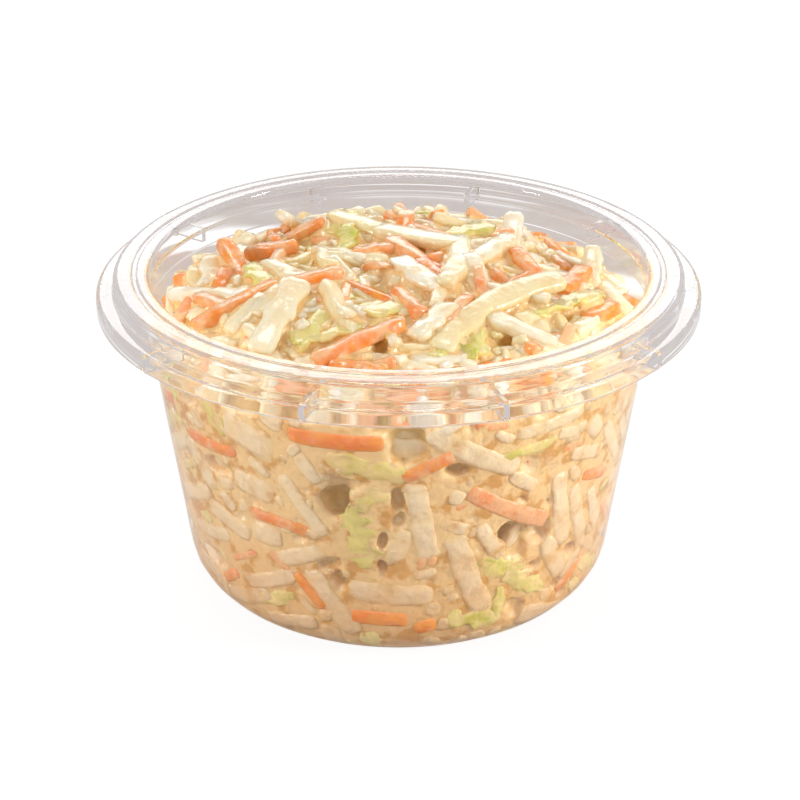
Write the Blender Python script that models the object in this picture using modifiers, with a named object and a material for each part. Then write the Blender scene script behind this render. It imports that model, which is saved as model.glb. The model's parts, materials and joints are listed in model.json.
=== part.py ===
"""Coleslaw in a clear round pot, for Blender 4.5. Metres, +Z up, the pot's base centred on the origin.

The pot is one moulded skin of even thickness: a flat base, a rounded heel, a tapered wall, an upright
collar, a flat rim and a stepped flange with a skirt. Upright gussets join the skirt to the collar.
The coleslaw is one closed solid out to the uneven top of the heap, a small gap clear of the pot.
"""

import math
import random

import bmesh
import bpy
from mathutils import Vector

MM = 0.001

# Pot: radii of its outer faces, and heights above the base
POT_HEIGHT = 53.4 * MM
SKIN = 0.8 * MM
BASE_CORNER_RADIUS = 33.1 * MM  # where the wall's line would meet the base, without the rounded heel
HEEL_RADIUS = 8.8 * MM
COLLAR_RADIUS = 40.05 * MM
COLLAR_BOTTOM = 47.0 * MM
RIM_RADIUS = 44.8 * MM
FLANGE_RADIUS = 47.5 * MM
LEDGE_HEIGHT = 50.7 * MM
SKIRT_BOTTOM = 47.9 * MM

# Shallow ring channel in the flat rim, and the step inside the collar that a lid's plug meets
CHANNEL_INNER = 40.6 * MM
CHANNEL_OUTER = 42.3 * MM
CHANNEL_DEPTH = 0.25 * MM
PLUG_STEP_BELOW_RIM = 3.1 * MM
PLUG_STEP = 0.15 * MM

# Gussets under the flange, each ending in a small round foot below the skirt
GUSSETS = 10
GUSSET_THICKNESS = 0.9 * MM
GUSSET_START_ANGLE = math.radians(-71)
FOOT_RADIUS = 0.6 * MM
FOOT_INSET = 0.95 * MM  # from the skirt's outer face to the foot's middle

# Coleslaw: the level where it meets the wall, and the heap above that
CLEARANCE = 0.3 * MM
FILL_LEVEL = 42.5 * MM
HEAP_RISE = 9.6 * MM
HEAP_FLATNESS = 3.0
SHREDS = 90
SHRED_SPREAD = 0.9  # share of the radius that the shreds' middles lie in
SHRED_HALF_WIDTH = 1.9 * MM
SHRED_RISE = (0.8 * MM, 2.8 * MM)
SHRED_HALF_LENGTH = (3.0 * MM, 9.0 * MM)
RELIEF_FADE = 0.25  # share of the radius, next to the wall, over which the shreds sink into the salad
SEED = 5

POT_STEPS = 60
HEAP_STEPS = 54
HEAP_RINGS = 18
ARC_STEPS = 3


def clear_scene():
    for obj in list(bpy.data.objects):
        bpy.data.objects.remove(obj, do_unlink=True)


def new_collection(name):
    collection = bpy.data.collections.new(name)
    bpy.context.scene.collection.children.link(collection)
    return collection


def plastic(name, colour, roughness, transmission=0.0):
    material = bpy.data.materials.new(name)
    material.use_nodes = True
    shader = material.node_tree.nodes["Principled BSDF"]
    shader.inputs["Base Color"].default_value = (*colour, 1.0)
    shader.inputs["Roughness"].default_value = roughness
    shader.inputs["Transmission Weight"].default_value = transmission
    return material


def arc(centre, radius, start, end, steps):
    """Points (r, z) on an arc, both ends included. Angles are in radians from the outward direction."""
    angles = [start + (end - start) * i / steps for i in range(steps + 1)]
    return [(centre[0] + radius * math.cos(a), centre[1] + radius * math.sin(a)) for a in angles]


def body_path(inset, top):
    """The pot's base, heel and wall as a line (r, z) from the axis up to a height, moved inwards by inset."""
    taper = math.atan2(COLLAR_RADIUS - BASE_CORNER_RADIUS, COLLAR_BOTTOM)
    heel_back = HEEL_RADIUS * math.tan((math.pi / 2 - taper) / 2)
    heel_centre = (BASE_CORNER_RADIUS - heel_back, HEEL_RADIUS)
    heel = arc(heel_centre, HEEL_RADIUS - inset, -math.pi / 2, -taper, 2 * ARC_STEPS)
    top_radius = BASE_CORNER_RADIUS + top * math.tan(taper) - inset / math.cos(taper)
    return [(0.0, inset), *heel, (top_radius, top)]


def rim_path():
    """The underside of collar, rim, ledge and skirt, from the top of the wall out to the skirt's edge."""
    under_rim = POT_HEIGHT - SKIN
    under_ledge = LEDGE_HEIGHT - SKIN
    plug_step = POT_HEIGHT - PLUG_STEP_BELOW_RIM
    upper_collar = COLLAR_RADIUS - PLUG_STEP
    corner = SKIN / 2
    channel = under_rim - CHANNEL_DEPTH
    outer = RIM_RADIUS - SKIN
    skirt = FLANGE_RADIUS - SKIN
    rounded = arc((outer - corner, under_rim - corner), corner, math.pi / 2, 0.0, ARC_STEPS)
    return [
        (COLLAR_RADIUS, plug_step - corner),
        (upper_collar, plug_step),
        (upper_collar, under_rim),
        (CHANNEL_INNER, under_rim),
        (CHANNEL_INNER + CHANNEL_DEPTH, channel),
        (CHANNEL_OUTER - CHANNEL_DEPTH, channel),
        (CHANNEL_OUTER, under_rim),
        *rounded,
        (outer, under_ledge),
        (skirt - corner, under_ledge),
        (skirt, under_ledge - corner),
        (skirt, SKIRT_BOTTOM),
    ]


def turned(name, path, steps):
    """An object with the line (r, z) as its mesh and a Screw modifier that turns it about the Z axis."""
    mesh = bpy.data.meshes.new(name)
    edges = [(i, i + 1) for i in range(len(path) - 1)]
    mesh.from_pydata([(r, 0.0, z) for r, z in path], edges, [])
    obj = bpy.data.objects.new(name, mesh)
    screw = obj.modifiers.new("Turn", "SCREW")
    screw.steps = steps
    screw.render_steps = steps
    screw.use_merge_vertices = True
    screw.merge_threshold = 0.01 * MM
    return obj


def evaluated_mesh(obj):
    bpy.context.view_layer.update()
    graph = bpy.context.evaluated_depsgraph_get()
    return bpy.data.meshes.new_from_object(obj.evaluated_get(graph))


def gusset_mesh():
    """An upright plate from collar to skirt. Its hidden edges lie halfway through the skin that it joins."""
    inner = COLLAR_RADIUS - SKIN / 2
    skirt = FLANGE_RADIUS - SKIN / 2
    ledge = LEDGE_HEIGHT - SKIN / 2
    outline = [(inner, SKIRT_BOTTOM), (skirt, SKIRT_BOTTOM), (skirt, ledge), (inner, ledge)]
    curve = bpy.data.curves.new("gusset", "CURVE")
    curve.dimensions = "2D"
    curve.fill_mode = "BOTH"
    curve.extrude = GUSSET_THICKNESS / 2
    spline = curve.splines.new("POLY")
    spline.points.add(len(outline) - 1)
    for point, (r, z) in zip(spline.points, outline):
        point.co = (r, z, 0.0, 1.0)
    spline.use_cyclic_u = True
    guide = bpy.data.objects.new("gusset_outline", curve)
    bpy.context.scene.collection.objects.link(guide)
    mesh = evaluated_mesh(guide)
    bpy.data.objects.remove(guide)
    shape = bmesh.new()
    shape.from_mesh(mesh)
    bmesh.ops.remove_doubles(shape, verts=shape.verts, dist=0.001 * MM)
    shape.to_mesh(mesh)
    shape.free()
    return mesh


def foot_mesh():
    """The round foot where a gusset ends at the skirt's edge."""
    mesh = bpy.data.meshes.new("gusset_foot")
    shape = bmesh.new()
    bmesh.ops.create_uvsphere(shape, u_segments=8, v_segments=6, radius=FOOT_RADIUS)
    bmesh.ops.translate(shape, verts=shape.verts, vec=(FLANGE_RADIUS - FOOT_INSET, 0.0, SKIRT_BOTTOM))
    shape.to_mesh(mesh)
    shape.free()
    return mesh


def add_joined_pieces(collection):
    """Gussets and feet, evenly spaced round the pot, in a collection of their own that isn't rendered."""
    gusset = gusset_mesh()
    foot = foot_mesh()
    for i in range(GUSSETS):
        angle = GUSSET_START_ANGLE + 2 * math.pi * i / GUSSETS
        plate = bpy.data.objects.new(f"gusset_{i}", gusset)
        plate.rotation_euler = (math.pi / 2, 0.0, angle)
        ball = bpy.data.objects.new(f"foot_{i}", foot)
        ball.rotation_euler = (0.0, 0.0, angle)
        for obj in (plate, ball):
            obj.hide_render = True
            obj.display_type = "WIRE"
            collection.objects.link(obj)


def build_pot(parts, joined, material):
    pot = turned("cup", body_path(0.0, COLLAR_BOTTOM) + rim_path(), POT_STEPS)
    parts.objects.link(pot)
    skin = pot.modifiers.new("Skin", "SOLIDIFY")
    skin.thickness = SKIN
    skin.offset = 1.0
    skin.use_even_offset = True
    skin.use_quality_normals = True
    add_joined_pieces(joined)
    union = pot.modifiers.new("Gussets", "BOOLEAN")
    union.operation = "UNION"
    union.operand_type = "COLLECTION"
    union.collection = joined
    pot.data.materials.append(material)
    pot.data.shade_smooth()
    pot.data.set_sharp_from_angle(angle=math.radians(30))
    return pot


def heap_height(radius, edge):
    """The heap's even height at a distance from the axis, before single shreds stand out of it."""
    return FILL_LEVEL + HEAP_RISE * (1.0 - (radius / edge) ** HEAP_FLATNESS)


def scattered_shreds(edge):
    """Shreds lying on the heap: (one end, other end, how far it stands out), in plan."""
    draw = random.Random(SEED)
    shreds = []
    for _ in range(SHREDS):
        radius = SHRED_SPREAD * edge * math.sqrt(draw.random())
        turn = 2 * math.pi * draw.random()
        middle = Vector((radius * math.cos(turn), radius * math.sin(turn)))
        heading = math.pi * draw.random()
        along = Vector((math.cos(heading), math.sin(heading))) * draw.uniform(*SHRED_HALF_LENGTH)
        shreds.append((middle - along, middle + along, draw.uniform(*SHRED_RISE)))
    return shreds


def shred_relief(point, shreds):
    """How far the highest shred over this place in plan stands out of the heap."""
    highest = 0.0
    for start, end, rise in shreds:
        axis = end - start
        share = min(1.0, max(0.0, (point - start).dot(axis) / axis.length_squared))
        distance = (point - start - axis * share).length
        if distance < 2 * SHRED_HALF_WIDTH:
            rounded = 0.5 + 0.5 * math.cos(0.5 * math.pi * distance / SHRED_HALF_WIDTH)
            highest = max(highest, rise * rounded)
    return highest


def build_heap(parts, material):
    side = body_path(SKIN + CLEARANCE, FILL_LEVEL)
    edge = side[-1][0]
    radii = [edge * (1.0 - i / HEAP_RINGS) for i in range(1, HEAP_RINGS + 1)]
    top = [(r, heap_height(r, edge)) for r in radii]
    lathe = turned("heap_lathe", list(reversed(side + top)), HEAP_STEPS)
    parts.objects.link(lathe)
    mesh = evaluated_mesh(lathe)
    bpy.data.objects.remove(lathe)
    shreds = scattered_shreds(edge)
    for vertex in mesh.vertices:
        plan = Vector(vertex.co[:2])
        if vertex.co.z > FILL_LEVEL:
            fade = min(1.0, (1.0 - plan.length / edge) / RELIEF_FADE)
            vertex.co.z += shred_relief(plan, shreds) * max(0.0, fade)
    heap = bpy.data.objects.new("coleslaw", mesh)
    mesh.materials.append(material)
    mesh.shade_smooth()
    parts.objects.link(heap)
    return heap


def main():
    clear_scene()
    parts = new_collection("coleslaw_pot")
    joined = new_collection("joined_pieces")
    clear = plastic("clear_plastic", (0.90, 0.91, 0.93), 0.05, transmission=1.0)
    salad = plastic("coleslaw", (0.86, 0.72, 0.45), 0.35)
    build_pot(parts, joined, clear)
    build_heap(parts, salad)


main()
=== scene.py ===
import json
import math
import random

import bmesh
import bpy
import numpy as np
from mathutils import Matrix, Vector, noise
from mathutils.bvhtree import BVHTree

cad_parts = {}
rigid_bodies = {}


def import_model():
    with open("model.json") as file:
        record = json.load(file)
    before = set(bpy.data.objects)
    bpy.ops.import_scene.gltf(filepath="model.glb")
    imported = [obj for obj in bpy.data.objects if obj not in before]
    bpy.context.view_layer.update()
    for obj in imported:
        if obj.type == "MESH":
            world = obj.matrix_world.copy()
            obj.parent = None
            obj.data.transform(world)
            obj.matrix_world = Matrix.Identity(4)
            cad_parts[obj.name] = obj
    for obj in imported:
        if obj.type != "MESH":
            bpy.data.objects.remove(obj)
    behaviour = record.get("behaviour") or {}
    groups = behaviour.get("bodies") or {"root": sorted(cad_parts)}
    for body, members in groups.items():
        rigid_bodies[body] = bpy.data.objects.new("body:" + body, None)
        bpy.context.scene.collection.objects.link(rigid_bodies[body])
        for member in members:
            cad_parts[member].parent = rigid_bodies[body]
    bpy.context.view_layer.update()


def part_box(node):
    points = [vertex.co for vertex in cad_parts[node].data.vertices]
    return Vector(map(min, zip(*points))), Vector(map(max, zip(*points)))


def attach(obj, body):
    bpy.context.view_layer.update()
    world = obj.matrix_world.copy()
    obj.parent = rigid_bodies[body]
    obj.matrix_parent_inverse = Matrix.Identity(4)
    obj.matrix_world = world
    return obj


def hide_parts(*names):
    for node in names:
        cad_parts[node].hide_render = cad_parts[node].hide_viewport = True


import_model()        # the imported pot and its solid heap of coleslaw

# Shapes are worked out in millimetres and become metres when a mesh is made.
MM = 0.001
cup_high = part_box("cup")[1]

# -------- pot, in millimetres
POT_HEIGHT = cup_high.z / MM
FLANGE_RADIUS = cup_high.x / MM
SKIN = 0.8
BASE_CORNER = 33.1      # where the wall's line would meet the base
HEEL_RADIUS = 8.8
COLLAR_RADIUS = 40.05
COLLAR_BOTTOM = 47.0
RIM_RADIUS = 44.8
LEDGE_HEIGHT = 50.7
SKIRT_BOTTOM = 47.9
CHANNEL = (40.6, 42.3, 0.25)   # inner and outer radius, depth
PLUG_STEP = 0.15
PLUG_STEP_HEIGHT = POT_HEIGHT - 3.1
GUSSETS = 10
GUSSET_START = math.radians(-71)
GUSSET_THICKNESS = 0.9
FOOT_RADIUS = 0.62
POT_STEPS = 220

TAPER = math.atan2(COLLAR_RADIUS - BASE_CORNER, COLLAR_BOTTOM)
HEEL_CENTRE = BASE_CORNER - HEEL_RADIUS * math.tan((math.pi / 2 - TAPER) / 2)
INNER_HEEL = HEEL_RADIUS - SKIN

# -------- salad, in millimetres
FILL_LEVEL = 42.5       # where the heap meets the wall
HEAP_RISE = 9.6
HEAP_TOP_LIMIT = 55.4
# how far each reaches into the wall, so that no air shows between them; the shreds stand out a little
DRESSING_REACH = 0.1
CRUMB_REACH = 0.26
SHRED_REACH = 0.42
WALL_RADIUS = 37        # turns an angle round the wall into a length
CORE_SINK = 0.1         # how far the core lies below the heap's surface
CORE_AROUND = 230
VOXEL = 0.57            # of the body that core and shreds are fused into
RING_STEP = 0.95        # distance between a shred's rings
CLOSE_TO_HERO = 4.5     # drawn shreds lie low within this distance of a listed one
AGAINST, BEHIND, SMALL = range(3)
WALL_DRAWS = ((AGAINST, 900), (BEHIND, 200), (SMALL, 2600))
SMALL_SHARES = (0.55, 0.62, 0.7)    # of length, width and thickness
TOP_DRAWS = 430
BASE_DRAWS = 70
CRUMBS = 700
HEAP_EDGE = BASE_CORNER + FILL_LEVEL * math.tan(TAPER) - SKIN / math.cos(TAPER)


# ======== helpers
def link_object(name, mesh):
    obj = bpy.data.objects.new(name, mesh)
    bpy.context.scene.collection.objects.link(obj)
    return obj


def make_object(name, verts, faces):
    """A smooth mesh object from millimetre points."""
    mesh = bpy.data.meshes.new(name)
    mesh.from_pydata((np.asarray(verts) * MM).tolist(), [], faces)
    mesh.shade_smooth()
    return link_object(name, mesh)


def add_value(obj, key, numbers):
    """A number at each point, which the materials read by name."""
    layer = obj.data.attributes.new(key, "FLOAT", "POINT")
    layer.data.foreach_set("value", np.asarray(numbers, dtype=np.float32))


def evaluated_mesh(obj):
    bpy.context.view_layer.update()
    graph = bpy.context.evaluated_depsgraph_get()
    return bpy.data.meshes.new_from_object(obj.evaluated_get(graph))


def points_of(mesh):
    points = np.empty(len(mesh.vertices) * 3, dtype=np.float32)
    mesh.vertices.foreach_get("co", points)
    return points.reshape(-1, 3).astype(float) / MM


def set_points(mesh, points):
    mesh.vertices.foreach_set("co", (points * MM).astype(np.float32).ravel())
    mesh.update()


def field(points, size, seed=0.0):
    """Smooth noise from -1 to 1 at each point, with lumps about size across."""
    shift = Vector((seed * 17.3, seed * 5.1, seed * 9.7))
    return np.array([noise.noise(Vector(p) / size + shift) for p in points])


def unit(vectors):
    return vectors / np.maximum(np.linalg.norm(vectors, axis=-1, keepdims=True), 1e-6)


# ======== the pot
def fillet(corners):
    """A polyline through (r, z, radius) corners, each rounded by its radius."""
    line = []
    for i, (r, z, radius) in enumerate(corners):
        here = Vector((r, z))
        if radius == 0 or i in (0, len(corners) - 1):
            line.append(here)
            continue
        back = Vector(corners[i - 1][:2]) - here
        on = Vector(corners[i + 1][:2]) - here
        turn = math.pi - back.angle(on)
        cut = min(radius * math.tan(turn / 2), 0.49 * back.length, 0.49 * on.length)
        radius = cut / math.tan(turn / 2)
        back.normalize()
        on.normalize()
        middle = here + (back + on).normalized() * math.hypot(cut, radius)
        first = here + back * cut - middle
        last = here + on * cut - middle
        sweep = first.angle_signed(last)
        steps = max(2, math.ceil(abs(sweep) / math.radians(15)))
        for k in range(steps + 1):
            angle = -sweep * k / steps
            line.append(middle + Vector((
                first.x * math.cos(angle) - first.y * math.sin(angle),
                first.x * math.sin(angle) + first.y * math.cos(angle))))
    return line


def offset(corners, distance):
    """The corners moved to the left of their line, with mitres."""
    points = [Vector(c) for c in corners]
    moved = []
    for i, point in enumerate(points):
        normals = []
        for a, b in ((i - 1, i), (i, i + 1)):
            if 0 <= a and b < len(points):
                along = (points[b] - points[a]).normalized()
                normals.append(Vector((-along.y, along.x)))
        mitre = sum(normals, Vector((0, 0))).normalized()
        moved.append(point + mitre * distance / mitre.dot(normals[0]))
    return moved


def pot_outline():
    """The closed section of the pot's skin from the axis out to the skirt and back."""
    under_rim = POT_HEIGHT - SKIN
    under_ledge = LEDGE_HEIGHT - SKIN
    collar = COLLAR_RADIUS - PLUG_STEP
    inner, outer, depth = CHANNEL
    soft, tight = 1.1, 0.3
    corners = [
        (0.0, 0.0, 0, 0),
        (BASE_CORNER, 0.0, HEEL_RADIUS, INNER_HEEL),
        (COLLAR_RADIUS, COLLAR_BOTTOM, 1.0, 1.0),
        (COLLAR_RADIUS, PLUG_STEP_HEIGHT - 0.4, tight, tight),
        (collar, PLUG_STEP_HEIGHT, tight, tight),
        (collar, under_rim, tight, 0.7),
        (inner, under_rim, tight, tight),
        (inner + depth, under_rim - depth, tight, tight),
        (outer - depth, under_rim - depth, tight, tight),
        (outer, under_rim, tight, tight),
        (RIM_RADIUS - SKIN, under_rim, tight, soft),
        (RIM_RADIUS - SKIN, under_ledge, soft, tight),
        (FLANGE_RADIUS - SKIN, under_ledge, tight, 0.8),
        (FLANGE_RADIUS - SKIN, SKIRT_BOTTOM, 0, 0),
    ]
    first = [(r, z) for r, z, _, _ in corners]
    second = offset(first, SKIN)
    near = fillet([(r, z, near) for r, z, near, _ in corners])
    far = fillet([(p.x, p.y, far) for p, (_, _, _, far) in zip(second, corners)])
    far[0].x = 0.0
    # the skirt's edge is a small half round between the two lines
    low_near, low_far = near[-1], far[-1]
    middle = (low_near + low_far) / 2
    near[-1] = low_near + Vector((0, 0.3))
    far[-1] = low_far + Vector((0, 0.3))
    edge = [
        Vector((middle.x - SKIN / 2 * math.cos(a), SKIRT_BOTTOM + 0.3 - 0.3 * math.sin(a)))
        for a in np.linspace(0, math.pi, 9)[1:-1]
    ]
    return near + edge + list(reversed(far))


def turned_object(name, outline):
    mesh = bpy.data.meshes.new(name)
    edges = [(i, i + 1) for i in range(len(outline) - 1)]
    mesh.from_pydata([(p.x * MM, 0.0, p.y * MM) for p in outline], edges, [])
    obj = link_object(name, mesh)
    screw = obj.modifiers.new("Turn", "SCREW")
    screw.steps = screw.render_steps = POT_STEPS
    screw.use_merge_vertices = True
    screw.merge_threshold = 0.00001
    return obj


def gusset_objects():
    """Upright plates between collar and skirt, each with a small round foot."""
    inner = COLLAR_RADIUS - SKIN / 2
    skirt = FLANGE_RADIUS - SKIN / 2
    ledge = LEDGE_HEIGHT - SKIN / 2
    plate = bmesh.new()
    outline = [(inner, SKIRT_BOTTOM), (skirt, SKIRT_BOTTOM), (skirt, ledge), (inner, ledge)]
    near_side = -GUSSET_THICKNESS / 2 * MM
    face = plate.faces.new([plate.verts.new((r * MM, near_side, z * MM)) for r, z in outline])
    pushed = bmesh.ops.extrude_face_region(plate, geom=[face])
    for v in pushed["geom"]:
        if isinstance(v, bmesh.types.BMVert):
            v.co.y += GUSSET_THICKNESS * MM
    bmesh.ops.recalc_face_normals(plate, faces=plate.faces)
    plate_mesh = bpy.data.meshes.new("gusset")
    plate.to_mesh(plate_mesh)
    plate.free()
    foot = bmesh.new()
    bmesh.ops.create_uvsphere(foot, u_segments=16, v_segments=10, radius=FOOT_RADIUS * MM)
    place = ((FLANGE_RADIUS - 0.95) * MM, 0, (SKIRT_BOTTOM + 0.05) * MM)
    bmesh.ops.translate(foot, verts=foot.verts, vec=place)
    foot_mesh = bpy.data.meshes.new("foot")
    foot.to_mesh(foot_mesh)
    foot.free()
    made = []
    for i in range(GUSSETS):
        for mesh in (plate_mesh, foot_mesh):
            obj = bpy.data.objects.new(f"gusset_{i}", mesh)
            obj.rotation_euler.z = GUSSET_START + 2 * math.pi * i / GUSSETS
            made.append(obj)
    return made


def build_pot():
    raw = turned_object("pot_raw", pot_outline())
    cutters = bpy.data.collections.new("gussets")
    bpy.context.scene.collection.children.link(cutters)
    for obj in gusset_objects():
        cutters.objects.link(obj)
    union = raw.modifiers.new("Union", "BOOLEAN")
    union.operation = "UNION"
    union.operand_type = "COLLECTION"
    union.collection = cutters
    mesh = evaluated_mesh(raw)
    for obj in list(cutters.objects):
        bpy.data.objects.remove(obj)
    bpy.data.collections.remove(cutters)
    bpy.data.objects.remove(raw)
    mesh.shade_smooth()
    mesh.set_sharp_from_angle(angle=math.radians(32))
    return link_object("pot", mesh)


# ======== inside of the pot, as a surface to lie on
HEEL_TURN = math.pi / 2 - TAPER
HEEL_START = HEEL_CENTRE                      # along the section from the axis: base, heel, wall
WALL_START = HEEL_START + INNER_HEEL * HEEL_TURN
WALL_START_Z = HEEL_RADIUS - INNER_HEEL * math.sin(TAPER)


def along_wall(z):
    """Distance along the inner section from the axis to the wall's height z."""
    return WALL_START + (z - WALL_START_Z) / math.cos(TAPER)


def inside(s):
    """Radius, height and outward normal (r, z) of the inner face at distance s along its section."""
    s = np.asarray(s, dtype=float)
    turn = np.clip((s - HEEL_START) / INNER_HEEL, 0, HEEL_TURN)
    up = np.maximum(s - WALL_START, 0)
    r = np.minimum(s, HEEL_CENTRE) + INNER_HEEL * np.sin(turn) + up * math.sin(TAPER)
    z = HEEL_RADIUS - INNER_HEEL * np.cos(turn) + up * math.cos(TAPER)
    return r, z, np.sin(turn), -np.cos(turn)


def keep_inside(points, reach):
    """Points moved in so that none is further than reach beyond the pot's inner face.

    reach is one distance, or one for each point."""
    reach = np.broadcast_to(reach, len(points))
    r = np.hypot(points[:, 0], points[:, 1])
    z = points[:, 2].copy()
    new_r = r.copy()
    dr, dz = r - HEEL_CENTRE, z - HEEL_RADIUS
    across = np.hypot(dr, dz)
    limit = INNER_HEEL + reach
    in_heel = (dr > 0) & (dz < 0) & (across > limit) & (dr * math.sin(TAPER) + dz * math.cos(TAPER) < 0)
    shrink = limit[in_heel] / across[in_heel]
    new_r[in_heel] = HEEL_CENTRE + dr[in_heel] * shrink
    z[in_heel] = HEEL_RADIUS + dz[in_heel] * shrink
    z = np.maximum(z, SKIN - reach)
    wall = BASE_CORNER + np.minimum(z, COLLAR_BOTTOM) * math.tan(TAPER) - (SKIN - reach) / math.cos(TAPER)
    wall = np.where(z > FILL_LEVEL + 3.5, wall - reach - 0.1, wall)
    over = ~in_heel & (new_r > wall)
    new_r[over] = wall[over]
    scale = new_r / np.maximum(r, 1e-6)
    out = points.copy()
    out[:, 0] *= scale
    out[:, 1] *= scale
    out[:, 2] = np.minimum(z, HEAP_TOP_LIMIT)
    return out


def wall_gap(points):
    """How far inside the pot's inner face each point lies."""
    r = np.hypot(points[:, 0], points[:, 1])
    z = points[:, 2]
    wall = (BASE_CORNER + z * math.tan(TAPER)) * math.cos(TAPER) - SKIN - r * math.cos(TAPER)
    corner = np.where((r > HEEL_CENTRE) & (z < HEEL_RADIUS),
                      INNER_HEEL - np.hypot(np.maximum(r - HEEL_CENTRE, 0), z - HEEL_RADIUS), wall)
    return np.minimum(np.minimum(wall, z - SKIN), corner)


def heap_height(x, y):
    r = np.hypot(x, y) / HEAP_EDGE
    return FILL_LEVEL + HEAP_RISE * (1 - np.minimum(r, 1.0) ** 3)


# ======== shreds
class Batch:
    """Collects closed swept shreds, to become one mesh."""

    def __init__(self):
        self.verts, self.faces, self.coat, self.tone = [], [], [], []
        self.count = 0

    def add(self, rings, coat, tone):
        n, k, _ = rings.shape
        base = self.count
        first, last = rings[0].mean(axis=0), rings[-1].mean(axis=0)
        self.verts.append(rings.reshape(-1, 3))
        self.verts.append(np.array([first, last]))
        quads = []
        for i in range(n - 1):
            for j in range(k):
                a, b = base + i * k + j, base + i * k + (j + 1) % k
                quads.append((a, b, b + k, a + k))
        head, tail = base + n * k, base + n * k + 1
        for j in range(k):
            nxt = (j + 1) % k
            quads.append((head, base + nxt, base + j))
            quads.append((tail, base + (n - 1) * k + j, base + (n - 1) * k + nxt))
        self.faces += quads
        total = n * k + 2
        self.coat.append(np.full(total, coat))
        self.tone.append(np.full(total, tone))
        self.count += total

    def arrays(self):
        return np.concatenate(self.verts), self.faces, np.concatenate(self.coat), np.concatenate(self.tone)


def section(k, square):
    angle = np.linspace(0, 2 * math.pi, k, endpoint=False) + math.pi / k
    c, s = np.cos(angle), np.sin(angle)
    return np.sign(c) * np.abs(c) ** (2 / square), np.sign(s) * np.abs(s) ** (2 / square)


def swept(path, side, up, kind, width, thick, draw):
    """Rings of points round a path, with uneven size, rounded ends and, on leaves, a ruffled edge."""
    k, square, blunt, rough, ruffle = KINDS[kind]
    n = len(path)
    cx, cy = section(k, square)
    t = np.linspace(0, 1, n)
    seed = draw.uniform(0, 50)
    uneven = 1 + rough * np.array([noise.noise(Vector((seed, 5.5 * v, 0))) for v in t])
    close = np.minimum(t, 1 - t) * (n - 1)
    ends = np.clip(0.62 + blunt * 0.3 + 0.2 * close, None, 1.0)
    w = width * uneven * ends / 2
    h = thick * (2 - uneven) * (0.5 + 0.5 * ends) / 2
    rings = (path[:, None, :] + side[:, None, :] * (cx[None, :] * w[:, None])[:, :, None]
             + up[:, None, :] * (cy[None, :] * h[:, None])[:, :, None])
    if ruffle:
        wave = np.array([[noise.noise(Vector((seed + 9 * v, 1.6 * u, 3.0))) for u in cx] for v in t])
        rings += up[:, None, :] * (ruffle * wave * (0.25 + cx[None, :] ** 2))[:, :, None]
        frill = np.array([[noise.noise(Vector((seed - 11 * v, 2.0 * np.sign(u), 7.0))) for u in cx]
                          for v in t])
        rings += side[:, None, :] * (ruffle * 0.9 * frill * cx[None, :])[:, :, None]
    along, finish = unit(path[1] - path[0]), unit(path[-1] - path[-2])
    cap = 0.28 * min(thick, width)
    start_ring = path[0] + (rings[0] - path[0]) * 0.72 - along * cap * 0.7
    end_ring = path[-1] + (rings[-1] - path[-1]) * 0.72 + finish * cap * 0.7
    return np.concatenate([start_ring[None], rings, end_ring[None]])


KINDS = {
    # around, squareness, blunt end, roughness of width, ruffle
    "carrot": (14, 4.5, 1.0, 0.22, 0.0),
    "white": (12, 3.6, 0.8, 0.38, 0.0),
    "leaf": (16, 2.4, 0.1, 0.6, 0.9),
    "frill": (18, 2.2, 0.0, 0.8, 1.7),
}


def steps_along(length):
    """Distances from a shred's middle to each of its rings."""
    return np.linspace(-0.5, 0.5, max(5, int(length / RING_STEP))) * length


def arc(t, length, bend):
    """How far a bent shred leaves its straight line."""
    return bend * (t ** 2 / length - length / 12)


def turn_about(side, up, angle):
    return side * math.cos(angle) + up * math.sin(angle), up * math.cos(angle) - side * math.sin(angle)


def wall_shred(batch, kind, az, s, heading, length, width, thick, depth, bend, coat, tone, draw):
    """A shred against the inside of the pot, s along its section and depth behind its face.

    Angles are in degrees."""
    t = steps_along(length)
    curl = arc(t, length, bend)
    h = math.radians(heading)
    du = t * math.cos(h) - curl * math.sin(h)
    ds = t * math.sin(h) + curl * math.cos(h)
    angle = math.radians(az) + du / max(float(inside(s)[0]), 8.0)
    r, zz, nr, nz = inside(np.clip(s + ds, 4.0, along_wall(FILL_LEVEL + 6)))
    # azimuth 0 faces the viewer, at -Y, and grows to the right
    out = np.stack([np.sin(angle) * nr, -np.cos(angle) * nr, nz], axis=1)
    surface = np.stack([np.sin(angle) * r, -np.cos(angle) * r, zz], axis=1)
    path = surface - out * (depth + thick / 2 - SHRED_REACH)
    side = unit(np.cross(unit(np.gradient(path, axis=0)), out))
    batch.add(swept(path, side, out, kind, width, thick, draw), coat, tone)


def top_shred(batch, kind, x, y, heading, length, width, thick, lift, tilt, bend, coat, tone, draw, roll):
    """A shred on the heap. tilt raises its far end; lift raises the whole. Angles in degrees."""
    t = steps_along(length)
    curl = arc(t, length, bend)
    h = math.radians(heading)
    flat = math.cos(math.radians(tilt))
    px = x + t * flat * math.cos(h) - curl * math.sin(h)
    py = y + t * flat * math.sin(h) + curl * math.cos(h)
    follow = heap_height(px, py)
    pz = 0.6 * follow + 0.4 * heap_height(x, y) + lift + t * math.sin(math.radians(tilt))
    path = np.stack([px, py, pz], axis=1)
    tangent = unit(np.gradient(path, axis=0))
    side = unit(np.cross(tangent, np.array([0.0, 0.0, 1.0])))
    side, up = turn_about(side, np.cross(side, tangent), math.radians(roll))
    batch.add(swept(path, side, up, kind, width, thick, draw), coat, tone)


WALL_THICKNESS = {"carrot": 2.3, "white": 2.4, "leaf": 1.5, "frill": 1.6}
TOP_THICKNESS = {"carrot": 2.3, "white": 2.2, "leaf": 1.3, "frill": 1.5}

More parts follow.
